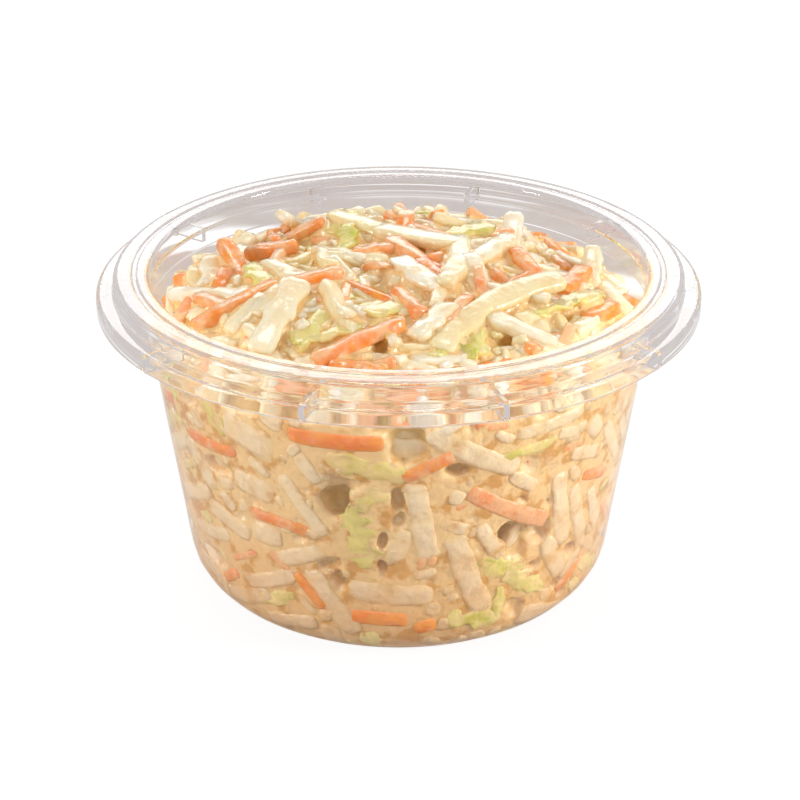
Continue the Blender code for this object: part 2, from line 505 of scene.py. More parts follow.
# Shreds against the wall on the shown side, by kind:
# azimuth, height, heading, length, width, depth, bend, coat
WALL_HEROES = [(kind, *row) for kind, rows in (
    ("carrot", (
        (-14, 41, 0, 13.6, 3, 0, 0.05, 0.1), (-14, 43.3, 2, 7, 1.6, 0.5, 0, 0.3),
        (-49, 34.2, 4, 11, 2.3, 0, 0.1, 0.35), (-46, 36, 14, 5, 1.4, 0.5, 0, 0.2),
        (-30, 24.4, -5, 9.5, 2.2, 0, -0.1, 0.35), (-23, 12.6, -52, 6.5, 2.2, 0, 0, 0.2),
        (-31, 16.8, -40, 3.6, 1.6, 0.1, 0, 0.8), (-5, 8.9, -3, 8, 2.9, 0, 0, 0.2),
        (7, 7.3, 20, 2.8, 2.6, 0, 0, 0.15), (6.5, 36.8, 26, 7.8, 2.5, 0, 0, 0.3),
        (27, 27.2, -32, 16, 3, 0, 0.1, 0.75), (34, 33.6, -55, 6, 2.4, 1, 0, 0.15),
        (36, 30, 40, 6, 2.2, 0.6, 0, 0.4), (41, 35.2, 0, 7.5, 1.9, 0.3, 0, 0.6),
        (55, 27.3, -18, 6.6, 2.1, 0, 0, 0.5), (52, 10, 35, 7.5, 1.7, 0, 0.1, 0.45),
        (-50, 9.8, 35, 4.2, 2, 0, 0, 0.4), (-43, 15.2, 30, 6, 1.3, 0.2, 0, 0.7),
        (-68, 37.2, 15, 4.5, 2, 0, 0, 0.5), (22, 42.7, -3, 6.5, 1.8, 0.3, 0, 0.6),
        (67, 17, -50, 6, 1.6, 0, 0, 0.65), (14.5, 29, 20, 1.8, 1.4, 0.3, 0, 0.4),
        (5.5, 19.5, 80, 2.2, 1.2, 0.1, 0, 0.55), (8.2, 19.7, 70, 1.4, 1.2, 0.1, 0, 0.6),
        (10.5, 16, 60, 2.6, 1.7, 0.6, 0, 0.35),
    )),
    ("white", (
        (-22.8, 28.4, -57, 11, 3.1, 0, 0.1, 0.2), (17, 38.4, -31, 15.5, 4.2, 0, 0.15, 0.3),
        (5.5, 26.8, -80, 14, 3.9, 0, 0.05, 0.1), (17.5, 16.2, -70, 16, 4.4, 0, 0.1, 0.1),
        (-17, 11, -60, 12, 3.9, 0, 0.1, 0.2), (-36, 38.6, -18, 9.5, 6, 0, 0.2, 0.4),
        (-36, 29.6, -8, 7, 4.8, 0, 0, 0.3), (-55, 29, -48, 8.5, 4.2, 0, 0, 0.4),
        (-25, 18.9, 25, 8, 3.5, 0, 0.1, 0.2),
    )),
    ("leaf", (
        (-7, 36.6, -12, 12, 3.8, 0, 0.1, 0.5),
    )),
    ("white", (
        (-2, 13.6, -5, 12, 4.6, 0, 0.1, 0.4), (30, 31.7, -35, 5.2, 3, 0, 0, 0.1),
        (22.5, 21.8, -60, 7.5, 3, 0, 0.1, 0.2), (14, 25.4, -25, 6, 3, 0.2, 0, 0.3),
        (43, 24, -76, 14, 4, 0, 0.1, 0.3), (50, 21.5, -68, 12, 3.4, 0, 0.1, 0.4),
        (58, 20, -62, 10, 3.2, 0, 0.1, 0.3), (62, 31, -50, 12, 3.2, 0, 0.1, 0.3),
        (50, 32.5, -16, 8, 3, 0, 0, 0.4), (43, 15, -60, 9, 4, 0, 0, 0.3),
        (-62, 22, 25, 12, 3.5, 0, 0.1, 0.4), (-66, 30, 30, 10, 3.4, 0, 0.1, 0.4),
        (-47, 21, -14, 9, 4, 0, 0, 0.5), (-56, 16.5, 15, 10, 3.2, 0, 0.1, 0.4),
        (-35, 12.6, 25, 10, 3.4, 0, 0.1, 0.4), (-44, 7.6, 20, 10, 3.4, 0, 0.1, 0.4),
        (-30, 5.5, 12, 9, 3.4, 0, 0.1, 0.4), (36, 40.8, 4, 12, 2.8, 0, 0.1, 0.4),
        (0, 22.5, 70, 6, 3.4, 0.1, 0, 0.4),
    )),
    ("frill", (
        (-9.5, 24, -82, 11, 4.6, 0, 0.1, 0.05),
    )),
    ("leaf", (
        (-9, 27, 15, 4, 3.4, 0.2, 0, 0), (30, 37.4, 6, 10, 2.2, 0, 0.1, 0.15),
    )),
    ("frill", (
        (26, 16.8, -22, 8, 4.6, 0, 0, 0.1), (34, 12.4, -32, 9, 4.2, 0, 0, 0.35),
    )),
    ("leaf", (
        (-46.5, 40, -58, 7.5, 4, 0.2, 0, 0.1),
    )),
    ("frill", (
        (20, 7.6, -8, 8.5, 4.2, 0, 0, 0.3),
    )),
    ("leaf", (
        (-33, 9.4, 25, 6.5, 3.2, 0, 0, 0.6),
    )),
    ("frill", (
        (-6.5, 31.4, 10, 5.5, 4.2, 0, 0, 0.5),
    )),
    ("leaf", (
        (26.5, 9.6, 85, 6, 2.2, 0, 0, 0.2), (60, 9.5, -25, 9, 3, 0, 0, 0.6),
        (-62, 27, 30, 6, 2.2, 0, 0, 0.6),
    )),
) for row in rows]

# Hollows in the dressing against the wall: azimuth, height, width, height of the hollow, depth
WALL_HOLLOWS = [
    (-14.5, 30.2, 4.4, 4.8, 3.4), (-26.8, 29.6, 2.6, 4.2, 2.4), (2.2, 40.6, 5, 6, 3.4),
    (-3.6, 21.4, 2.2, 6.4, 2.8), (-18.6, 17.6, 2.2, 2.4, 2.2), (-14.4, 15.8, 2.6, 2.8, 2.2),
    (28.6, 20.8, 5, 4.6, 3.6), (13, 36.2, 2.8, 2.2, 2.4), (-42.6, 39.4, 3.6, 4.6, 3),
    (-48, 31, 4.4, 2.4, 1.6), (-29.6, 10.6, 3.4, 3.2, 2), (0.8, 26.2, 2.4, 4.6, 2.4),
    (31.2, 34.6, 2.4, 2.8, 2.6), (25, 9.6, 1.8, 3.4, 2.2), (-7.9, 27.8, 1.4, 1.2, 2.4),
    (-11.5, 33.6, 5.6, 1.6, 1.8), (10.6, 16, 2.4, 2.8, 2), (0, 31, 1.8, 3.8, 2),
    (32.6, 7.6, 2.2, 2.4, 1.8), (48, 14.8, 4.8, 2, 1.6), (-56, 11.4, 6, 2.2, 1.6),
    (52.5, 23.8, 3.2, 2.2, 1.4), (21.5, 18.3, 1.8, 1.6, 2.2), (-54, 40.4, 3.6, 2, 1.6),
]

# Shreds on the heap, by kind: x, y, heading, length, width, lift, tilt, bend, roll, coat
TOP_HEROES = [(kind, *row) for kind, rows in (
    ("carrot", (
        (-6, -24.8, 27, 14, 3, 1.9, 5, 0, 15, 0.45), (-25, -9.8, 26, 13.5, 3.6, 1.7, 6, 0.1, 10, 0.2),
        (-12.5, -6.2, 18, 7, 2.6, 1.8, 4, 0.1, 0, 0.6), (-20.5, 9, -20, 8, 2.4, 1.8, 8, 0.1, 0, 0.45),
        (-33, -3.5, 70, 6.5, 2.4, 1.2, 4, 0.1, 0, 0.4), (-3, 3.5, 12, 7.5, 2.5, 1.9, 4, 0.1, 0, 0.55),
        (-26.3, 5, 118, 8.5, 2.8, 3, 32, 0.1, 0, 0.4), (-27.6, 0.8, 75, 5, 2.8, 1.6, 10, 0, 0, 0.25),
        (-34.4, 5.2, 110, 4.2, 2.8, 2.2, 25, 0, 20, 0.35),
        (2.4, 1.5, -52, 12, 2.9, 1.8, -8, 0.1, 10, 0.45), (5, -4.6, -60, 6.5, 2.9, 1.4, -10, 0, 0, 0.15),
        (1, 15.5, 80, 5.5, 2.8, 2.6, 35, 0, 0, 0.5), (4.6, 12.5, -42, 8.5, 2.2, 1.6, 0, 0.1, 0, 0.4),
        (20.4, 0.8, -62, 9, 2.6, 1.6, -10, 0.1, 0, 0.3), (17.2, 10.2, 80, 4, 2.6, 2.2, 30, 0, 0, 0.5),
        (27.6, -0.4, 66, 9, 3.2, 1.7, 10, 0, 0, 0.1), (31.2, -7.8, 52, 7.5, 3, 1.6, 6, 0, 0, 0.2),
        (-11.3, -10.5, 78, 6, 1.9, 0.9, 0, 0, 0, 0.75), (-8.2, -9.5, 84, 7, 1.8, 0.5, 0, 0, 0, 0.8),
        (1.4, -14.8, -64, 8.5, 2.3, 1.5, 0, 0.2, 10, 0.35), (8.8, -16.6, 64, 8, 2.5, 1.3, 4, 0.1, 0, 0.5),
        (14.6, -26.2, 30, 4, 2, 0.2, 0, 0, 0, 0.3),
    )),
    ("white", (
        (-18, -17.4, 70, 15.5, 4.2, 2.9, 8, 0.05, -12, 0),
        (14.6, -15, 46, 27, 4.4, 2, 6, -0.35, -10, 0.1), (-23, -13.2, 50, 7.5, 3.8, 1.4, 10, 0.1, 0, 0.3),
        (-19.8, -11.6, 56, 6.5, 3.4, 1.6, 10, 0, 0, 0.2), (-29.8, -2, -33, 15, 3.4, 1.3, 0, 0.3, 0, 0.2),
        (-5.4, 13.5, -36, 13.5, 4.4, 2.6, -8, 0.1, 0, 0.3), (3, 8, -26, 14, 4.2, 2.5, 0, 0.1, 0, 0.4),
        (9, -1.5, 82, 18, 3.6, 2.3, 0, 0.2, 0, 0.2), (14.6, 3.8, 52, 11, 3.8, 2.4, 6, 0.1, 0, 0.2),
        (2.8, -6.4, -52, 10, 3.8, 2.3, -8, 0.2, 0, 0.3), (18.4, 14, 80, 8, 3.4, 3.2, 35, 0.1, 0, 0.2),
        (31, 7, 84, 8.5, 3.2, 2.8, 32, 0.1, 0, 0.3), (34, 0.5, -70, 10, 3, 1.6, 0, 0.2, 0, 0.4),
        (28.5, -12.6, 60, 6.5, 3, 1.2, 0, 0.1, 0, 0.2),
        (18.6, -19.2, -20, 10, 3.4, 1.5, -6, 0.25, 0, 0.3), (5, -20, 56, 9, 4.2, 1.6, 6, 0.1, 10, 0.1),
        (-29.6, 4.6, 100, 6, 4.2, 2.2, 25, 0.1, 0, 0.3), (-32.4, 4, 104, 5, 3, 2, 25, 0.1, 0, 0),
        (-17.5, -2.5, -50, 11, 3.4, 1.5, 0, 0.2, 0, 0.3), (-11.5, -26, 20, 7, 3.2, 0.5, 0, 0.1, 0, 0.4),
        (6, -27, 8, 8, 3.4, 0.3, 0, 0.1, 0, 0.3), (-27, -17, -40, 7, 3.4, 0.6, 0, 0.1, 0, 0.4),
    )),
    ("leaf", (
        (-21.2, -3, -62, 10.5, 3.8, 1.6, -6, 0.2, 0, 0.1), (-8.4, 8.6, 84, 8.5, 3.4, 2, 15, 0.1, 20, 0),
        (-9.4, 15.5, 60, 6, 4.6, 3.2, 25, 0.1, 0, 0.35),
    )),
    ("frill", (
        (-13.2, -20.4, 68, 8.5, 4.2, 1.2, 6, 0.1, 0, 0.1),
    )),
    ("leaf", (
        (-9.4, -21.2, 20, 7.5, 3.4, 0.9, 0, 0.1, 0, 0.4), (11.6, 14, 32, 9, 4.2, 2.2, 5, 0.2, 0, 0.4),
        (23.6, -10.6, 46, 9, 4.2, 1.2, 0, 0.1, 15, 0), (28.4, -6.4, 40, 8, 3.6, 2.2, 6, 0.1, 0, 0.4),
    )),
    ("frill", (
        (7.2, -24.6, 70, 6.5, 3.6, 0.7, 0, 0.1, 0, 0.2), (11.4, -23.4, 80, 8, 3.6, 0.9, 0, 0.1, 0, 0.15),
    )),
    ("leaf", (
        (-1.8, -16, 10, 9, 3.8, 1.2, 0, 0.1, 0, 0.35), (-15, 4, 30, 7, 3.2, 1, 0, 0.1, 0, 0.6),
    )),
) for row in rows]


def pick_kind(draw):
    roll = draw.random()
    if roll < 0.52:
        return "white"
    if roll < 0.80:
        return "carrot"
    return "leaf" if roll < 0.9 else "frill"


def shred_size(kind, draw):
    """Length, width and thickness."""
    if kind == "carrot":
        return draw.triangular(4.5, 16, 9), draw.uniform(1.7, 3.1), draw.uniform(1.8, 2.6)
    if kind == "white":
        return draw.triangular(6, 20, 10), draw.uniform(2.8, 4.6), draw.uniform(1.8, 2.8)
    return draw.uniform(5, 10), draw.uniform(2.8, 4.8), draw.uniform(1.0, 1.7)


def build_shreds():
    draw = random.Random(11)
    leaves = Batch()
    batches = {"carrot": Batch(), "white": Batch(), "leaf": leaves, "frill": leaves}
    laid = []
    for kind, az, z, heading, length, width, depth, bend, coat in WALL_HEROES:
        wall_shred(batches[kind], kind, az, along_wall(z), heading, length, width,
                   min(WALL_THICKNESS[kind], width), depth, bend, coat, draw.random(), draw)
        laid.append((math.radians(az) * WALL_RADIUS, along_wall(z), math.radians(heading), length, width))
    # the hollows are kept open as well
    for az, z, width, height, _ in WALL_HOLLOWS:
        laid.append((math.radians(az) * WALL_RADIUS, along_wall(z), 0.0, width * 0.9, height * 0.9))
    for kind, x, y, heading, length, width, lift, tilt, bend, roll, coat in TOP_HEROES:
        top_shred(batches[kind], kind, x, y, heading, length, width,
                  min(TOP_THICKNESS[kind], width), lift, tilt, bend, coat, draw.random(), draw, roll)

    def free_length(u, s, heading, length, width):
        """How long a shred centred here can be before it runs over one laid earlier."""
        for half in np.arange(0.5, length / 2, 0.5):
            for t in (-half, half):
                if crowded(u + t * math.cos(heading), s + t * math.sin(heading), 0.35 * width):
                    return 2 * half
        return length

    def crowded(u, s, spread):
        """Whether a shred laid earlier against the wall covers this place."""
        for lu, ls, lh, length, width in laid:
            half_turn = WALL_RADIUS * math.pi
            du = (u - lu + half_turn) % (2 * half_turn) - half_turn
            ds = s - ls
            along = du * math.cos(lh) + ds * math.sin(lh)
            across = -du * math.sin(lh) + ds * math.cos(lh)
            if abs(along) < length / 2 + spread and abs(across) < width / 2 + spread:
                return True
        return False

    # more shreds against the wall all round, then some behind the gaps, then small ones in what is left
    for layer, count in WALL_DRAWS:
        for _ in range(count):
            kind = pick_kind(draw)
            length, width, thick = shred_size(kind, draw)
            if layer == SMALL:
                length, width, thick = (a * b for a, b in zip((length, width, thick), SMALL_SHARES))
            az = draw.uniform(-180, 180)
            s = draw.uniform(HEEL_START - 3, along_wall(FILL_LEVEL + 1))
            heading = draw.uniform(0, 180)
            u = math.radians(az) * WALL_RADIUS
            shown_carrot = abs(az) < 75 and kind == "carrot"
            if layer != BEHIND and (crowded(u, s, 0.35 * width) or shown_carrot):
                continue
            if layer == BEHIND:
                depth = draw.uniform(1.2, 2.4)
                kind = "white" if shown_carrot else kind
            else:
                depth = draw.choice((0.0, 0.0, 0.08, 0.16))
                h = math.radians(heading)
                length = free_length(u, s, h, length, width)
                if length < 2.0:
                    continue
                laid.append((u, s, h, length, width))
            wall_shred(batches[kind], kind, az, s, heading, length, width, min(thick, width),
                       depth, draw.uniform(-0.2, 0.2), draw.uniform(0.1, 0.9), draw.random(), draw)

    # the rest of the heap's top
    heroes = [(h[1], h[2]) for h in TOP_HEROES]
    for _ in range(TOP_DRAWS):
        kind = pick_kind(draw)
        length, width, thick = (0.8 * v for v in shred_size(kind, draw))
        radius = HEAP_EDGE * math.sqrt(draw.random()) * 0.95
        turn = draw.uniform(0, 2 * math.pi)
        x, y = radius * math.cos(turn), radius * math.sin(turn)
        near = min(math.hypot(x - a, y - b) for a, b in heroes) < CLOSE_TO_HERO
        if near and kind == "carrot" and draw.random() < 0.6:
            kind = "white"
        lift = draw.uniform(-0.6, 0.5) if near else draw.uniform(0.0, 2.0)
        tilt = draw.uniform(-8, 8) if near else draw.gauss(0, 14)
        heading = draw.uniform(0, 360)
        if radius > 0.7 * HEAP_EDGE:
            heading = math.degrees(turn) + 90 + draw.uniform(-45, 45)
        top_shred(batches[kind], kind, x, y, heading, length, width, min(thick, width),
                  lift, tilt, draw.uniform(-0.25, 0.25), draw.uniform(0.1, 0.9), draw.random(), draw,
                  draw.uniform(-30, 30))

    # shreds flat on the base, seen from below
    for _ in range(BASE_DRAWS):
        kind = pick_kind(draw)
        length, width, thick = shred_size(kind, draw)
        radius = 25 * math.sqrt(draw.random())
        turn = draw.uniform(0, 2 * math.pi)
        add_base_shred(batches[kind], kind, radius * math.cos(turn), radius * math.sin(turn),
                       draw.uniform(0, 180), length, width, min(thick, width), draw)
    return batches


def add_base_shred(batch, kind, x, y, heading, length, width, thick, draw):
    t = steps_along(length)
    h = math.radians(heading)
    level = np.full(len(t), SKIN + thick / 2 - SHRED_REACH)
    path = np.stack([x + t * math.cos(h), y + t * math.sin(h), level], axis=1)
    side = np.tile([-math.sin(h), math.cos(h), 0.0], (len(t), 1))
    up = np.tile([0.0, 0.0, 1.0], (len(t), 1))
    batch.add(swept(path, side, up, kind, width, thick, draw), draw.uniform(0.1, 0.9), draw.random())


def build_crumbs():
    """Small knobbly bits of cabbage between the shreds."""
    draw = random.Random(23)
    ball = bmesh.new()
    bmesh.ops.create_icosphere(ball, subdivisions=2, radius=1.0)
    shape = np.array([v.co[:] for v in ball.verts])
    tris = [tuple(v.index for v in f.verts) for f in ball.faces]
    ball.free()
    verts, faces, coat, tone = [], [], [], []
    for i in range(CRUMBS):
        size = draw.triangular(0.5, 1.7, 0.8)
        stretch = np.array([draw.uniform(0.7, 1.4) for _ in range(3)])
        seed = Vector((draw.uniform(0, 99), 0, 0))
        lumps = np.array([1 + 0.45 * noise.noise(Vector(p) * 1.3 + seed) for p in shape])
        if i % 2:
            az = draw.uniform(-math.pi, math.pi)
            s = draw.uniform(HEEL_START, along_wall(FILL_LEVEL))
            r, z, nr, nz = (float(v) for v in inside(s))
            inward = size * draw.uniform(0.4, 1.3)
            r -= nr * inward
            centre = np.array([math.sin(az) * r, -math.cos(az) * r, z - nz * inward])
            if hollow_depth(centre[None])[0] > 0.5:
                size *= 0.5
        else:
            radius = HEAP_EDGE * math.sqrt(draw.random()) * 0.97
            x, y = radius * math.cos(i * 2.4), radius * math.sin(i * 2.4)
            centre = np.array([x, y, float(heap_height(x, y)) + draw.uniform(-0.3, 1.4)])
        verts.append(centre + shape * stretch * size * lumps[:, None])
        faces += [tuple(v + len(shape) * i for v in f) for f in tris]
        coat.append(np.full(len(shape), draw.random()))
        tone.append(np.full(len(shape), draw.random()))
    return np.concatenate(verts), faces, np.concatenate(coat), np.concatenate(tone)


# ======== dressing
def hollow_depth(points):
    """How deep the dressing's hollows are at these points against the wall."""
    az = np.degrees(np.arctan2(points[:, 0], -points[:, 1]))
    deep = np.zeros(len(points))
    wobble = field(points, 2.2, 4.0) + 0.7 * field(points, 1.1, 5.0)
    for a, z, width, height, depth in WALL_HOLLOWS:
        du = np.radians(az - a) * WALL_RADIUS / (width / 2)
        dz = (points[:, 2] - z) / (height / 2)
        inside_it = 1.3 - np.hypot(du, dz) + 0.5 * wobble
        deep = np.maximum(deep, depth * np.clip(inside_it * 2.0, 0, 1))
    # small ones are scattered between them, closer together on the shown side
    shown = np.abs(az) < 50
    threshold = np.where(shown, 0.27, 0.40)
    scattered = np.clip((field(points, 3.0, 8.0) - threshold) * 9, 0, 1) * (points[:, 2] > 6)
    return np.maximum(deep, scattered * 1.5)


def build_core():
    """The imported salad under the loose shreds: a lathe with hollows against the wall and lumps on top."""
    around = CORE_AROUND
    rows = [(s, None) for s in np.linspace(1.0, along_wall(FILL_LEVEL), 82)]
    rows += [(None, r) for r in np.linspace(HEAP_EDGE, 1.0, 52)[1:]]
    angles = np.linspace(0, 2 * math.pi, around, endpoint=False)
    verts = []
    for s, r in rows:
        if r is None:
            rr, z, _, _ = (float(v) for v in inside(s))
            z_here = np.full(around, z)
        else:
            rr = r
            z_here = heap_height(np.full(around, r), np.zeros(around)) - CORE_SINK
        verts.append(np.stack([np.cos(angles) * rr, np.sin(angles) * rr, z_here], axis=1))
    grid = np.concatenate(verts)
    on_wall = np.repeat([r is None for _, r in rows], around)
    deep = np.where(on_wall, hollow_depth(grid), 0.0)
    r = np.hypot(grid[:, 0], grid[:, 1])
    # move towards a line low on the axis, which is inward on wall and heel alike
    inward = unit(np.stack([-grid[:, 0], -grid[:, 1], np.clip(22.0 - grid[:, 2], -8, 8)], axis=1))
    grid += inward * deep[:, None]
    lumps = field(grid, 3.2, 1.0) * 1.1 + field(grid, 1.4, 2.0) * 0.35
    grid[:, 2] += np.where(on_wall | (r / HEAP_EDGE >= 0.97), 0.0, lumps)
    faces = []
    n = len(rows)
    for i in range(n - 1):
        for j in range(around):
            a, b = i * around + j, i * around + (j + 1) % around
            faces.append((a, b, b + around, a + around))
    bottom, top = len(grid), len(grid) + 1
    grid = np.vstack([grid, [[0, 0, SKIN]], [[0, 0, FILL_LEVEL + HEAP_RISE - CORE_SINK]]])
    for j in range(around):
        faces.append((bottom, (j + 1) % around, j))
        faces.append((top, (n - 1) * around + j, (n - 1) * around + (j + 1) % around))
    return grid, faces


def build_dressing(shapes):
    """Core and shreds fused into one creamy body, then smoothed so that the shreds stand out of it."""
    verts, faces, count = [], [], 0
    for points, quads in shapes:
        verts.append(points)
        faces += [tuple(v + count for v in f) for f in quads]
        count += len(points)
    joined = make_object("dressing_raw", np.concatenate(verts), faces)
    remesh = joined.modifiers.new("Fuse", "REMESH")
    remesh.mode = "VOXEL"
    remesh.voxel_size = VOXEL * MM
    smooth = joined.modifiers.new("Smooth", "SMOOTH")
    smooth.factor = 0.5
    smooth.iterations = 5
    mesh = evaluated_mesh(joined)
    bpy.data.objects.remove(joined)
    points = points_of(mesh)
    normals = np.empty(len(mesh.vertices) * 3, dtype=np.float32)
    mesh.vertices.foreach_get("normal", normals)
    swell = -0.30 + 0.28 * field(points, 3.4, 6.0) + 0.12 * field(points, 1.1, 7.0)
    # against the pot the dressing is squeezed out to the plastic
    swell += 0.75 * np.clip(1 - wall_gap(points) / 1.1, 0, 1)
    points += normals.reshape(-1, 3) * swell[:, None]
    set_points(mesh, points)
    mesh.shade_smooth()
    return link_object("salad_dressing", mesh)


def settle(obj, reach, material):
    """Presses a piece against the inside of the pot, with a faint relief, and notes how deep in a hollow it
    lies, for the painted hollow shade, and how pressed it is.
    """
    points = points_of(obj.data)
    relief = 0.09 * field(points, 1.3, 12.0) + 0.06 * field(points, 4.0, 13.0)
    points = keep_inside(points, np.clip(reach + relief, 0.02, None))
    set_points(obj.data, points)
    # painted shade: how deep each point lies in a hollow or between shreds, which the materials turn golden
    # brown
    add_value(obj, "deep", hollow_shade_value(points))
    add_value(obj, "pressed", pressed_value(points))
    obj.data.materials.append(material)


def hollow_shade_value(points):
    """Painted shade: 0 at the salad's outer surface, 1 deep in a hollow or between shreds on the heap,
    where the materials paint a golden brown shade.
    """
    stand_up = 1.2      # about how far the shreds rise from the heap
    top = heap_height(points[:, 0], points[:, 1]) + stand_up - points[:, 2]
    near = np.minimum(wall_gap(points), np.maximum(top, 0))
    return np.clip((near - 0.5) / 2.2, 0, 1)


def pressed_value(points):
    """1 where the salad is wetted against the plastic, 0 on the heap."""
    contact = np.clip(1 - (wall_gap(points) - 0.6) / 2.5, 0, 1)
    return contact * np.clip((FILL_LEVEL + 3 - points[:, 2]) / 4, 0, 1)


def film_from(obj, surface):
    """Notes the film of dressing over a shred: full where it meets the dressing, none well above it."""
    near = np.empty(len(obj.data.vertices))
    for i, v in enumerate(obj.data.vertices):
        place, normal, _, _ = surface.find_nearest(v.co, 0.002)
        if place is None:
            near[i] = 0.0
            continue
        height = (v.co - place).dot(normal) / MM
        near[i] = np.clip(1 - (height - 0.02) / 0.38, 0, 1)
    add_value(obj, "film", near)


# ======== materials
def linear(r, g, b):
    return tuple((c / 255 / 12.92) if c / 255 <= 0.04045 else ((c / 255 + 0.055) / 1.055) ** 2.4
                 for c in (r, g, b)) + (1.0,)


class Nodes:
    """Short names for building a node tree."""

    def __init__(self, name):
        self.material = bpy.data.materials.new(name)
        self.material.use_nodes = True
        self.tree = self.material.node_tree
        self.shader = self.tree.nodes["Principled BSDF"]
        self.output = self.tree.nodes["Material Output"]
        self.place = self.node("ShaderNodeTexCoord").outputs["Object"]

    def node(self, kind, **settings):
        made = self.tree.nodes.new(kind)
        for key, value in settings.items():
            setattr(made, key, value)
        return made

    def link(self, a, b):
        self.tree.links.new(a, b)

    def feed(self, value, socket):
        """Sets a socket from a number or colour, or links it."""
        if isinstance(value, (int, float, tuple)):
            socket.default_value = value
        else:
            self.link(value, socket)

    def attribute(self, name):
        return self.node("ShaderNodeAttribute", attribute_name=name).outputs["Fac"]

    def noise(self, scale, detail=2.0, roughness=0.5):
        made = self.node("ShaderNodeTexNoise")
        made.inputs["Scale"].default_value = scale
        made.inputs["Detail"].default_value = detail
        made.inputs["Roughness"].default_value = roughness
        self.link(self.place, made.inputs["Vector"])
        return made.outputs["Fac"]

    def ramp(self, value, low, high, to_low=0.0, to_high=1.0):
        made = self.node("ShaderNodeMapRange")
        made.interpolation_type = "SMOOTHSTEP"
        for key, number in (("From Min", low), ("From Max", high), ("To Min", to_low), ("To Max", to_high)):
            made.inputs[key].default_value = number
        self.link(value, made.inputs["Value"])
        return made.outputs["Result"]

    def math(self, operation, a, b):
        made = self.node("ShaderNodeMath", operation=operation)
        for socket, value in zip(made.inputs, (a, b)):
            self.feed(value, socket)
        return made.outputs[0]

    def times(self, a, b):
        return self.math("MULTIPLY", a, b)

    def mix(self, share, a, b):
        made = self.node("ShaderNodeMix", data_type="RGBA")
        for socket, value in ((made.inputs[0], share), (made.inputs[6], a), (made.inputs[7], b)):
            self.feed(value, socket)
        return made.outputs[2]

    def bump(self, height, strength, distance):
        made = self.node("ShaderNodeBump")
        made.inputs["Strength"].default_value = strength
        made.inputs["Distance"].default_value = distance
        self.link(height, made.inputs["Height"])
        self.link(made.outputs["Normal"], self.shader.inputs["Normal"])


CREAM = linear(254, 219, 158)
CREAM_WARM = linear(249, 198, 120)
CREAM_PRESSED = linear(226, 170, 88)
CREAM_PRESSED_PALE = linear(252, 215, 153)
# painted shade: the gold that the salad darkens to towards the base
LOW_GOLD_SHADE = linear(222, 160, 86)
# painted shade: the golden brown given to hollows and gaps between shreds, standing in for the shade and
# scattered light there
HOLLOW_SHADE = linear(200, 158, 46)
WHITE_CABBAGE = linear(254, 243, 220)
WHITE_YELLOW = linear(251, 229, 172)
CABBAGE_PRESSED = linear(254, 232, 194)
GREEN = linear(202, 196, 48)
GREEN_PALE = linear(242, 226, 134)
CARROT = linear(255, 163, 40)
CARROT_DEEP = linear(255, 136, 24)
SALMON = linear(254, 178, 128)


def wet(nodes, colour):
    """Moist food: soft uneven gloss, a faint bump and a little light under the surface."""
    shader = nodes.shader
    nodes.link(colour, shader.inputs["Base Color"])
    patches = nodes.noise(420, 3.0)
    nodes.link(nodes.ramp(patches, 0.35, 0.65, 0.12, 0.34), shader.inputs["Roughness"])
    shader.inputs["IOR"].default_value = 1.42
    shader.inputs["Subsurface Weight"].default_value = 0.15
    shader.inputs["Subsurface Radius"].default_value = (1.0, 0.6, 0.3)
    shader.inputs["Subsurface Scale"].default_value = 0.002
    shader.inputs["Coat Weight"].default_value = 0.6
    shader.inputs["Coat Roughness"].default_value = 0.06
    nodes.bump(nodes.noise(480, 2.0), 0.5, 0.0010)


def dressing_tint(nodes):
    """Cream on the heap, warmer and mottled against the plastic with painted shade darkening it to gold
    towards the base, and painted golden shade in the hollows.
    """
    loose = nodes.mix(nodes.ramp(nodes.noise(160, 3.0), 0.35, 0.65), CREAM, CREAM_WARM)
    mottle = nodes.ramp(nodes.noise(330, 3.0, 0.55), 0.37, 0.52)
    pressed = nodes.mix(mottle, CREAM_PRESSED, CREAM_PRESSED_PALE)
    # against the plastic, painted shade darkens it to gold towards the base
    tint = nodes.mix(nodes.attribute("pressed"), loose, golden_shade_below(nodes, pressed))
    # painted shade: golden brown deep in the hollows
    return nodes.mix(nodes.attribute("deep"), tint, HOLLOW_SHADE)


def golden_shade_below(nodes, colour):
    """Painted shade: the salad darkens to gold towards the base."""
    split = nodes.node("ShaderNodeSeparateXYZ")
    nodes.link(nodes.place, split.inputs[0])
    return nodes.mix(nodes.ramp(split.outputs["Z"], 0.0, 0.030, 0.42, 0.0), colour, LOW_GOLD_SHADE)


def dressing_material():
    nodes = Nodes("creamy_dressing")
    wet(nodes, dressing_tint(nodes))
    return nodes.material


def cabbage_material():
    nodes = Nodes("white_cabbage")
    tint = nodes.mix(nodes.attribute("tone"), WHITE_CABBAGE, WHITE_YELLOW)
    streak = nodes.ramp(nodes.noise(300, 4.0), 0.4, 0.7, 0.0, 0.35)
    tint = nodes.mix(streak, tint, CREAM_WARM)
    # pressed against the plastic, with painted shade darkening it to gold towards the base
    tint = nodes.mix(nodes.attribute("pressed"), tint, golden_shade_below(nodes, CABBAGE_PRESSED))
    # painted shade: golden brown deep in the hollows
    tint = nodes.mix(nodes.times(nodes.attribute("deep"), 0.8), tint, HOLLOW_SHADE)
    colour = nodes.mix(nodes.times(nodes.attribute("film"), 0.85), tint, dressing_tint(nodes))
    wet(nodes, colour)
    return nodes.material


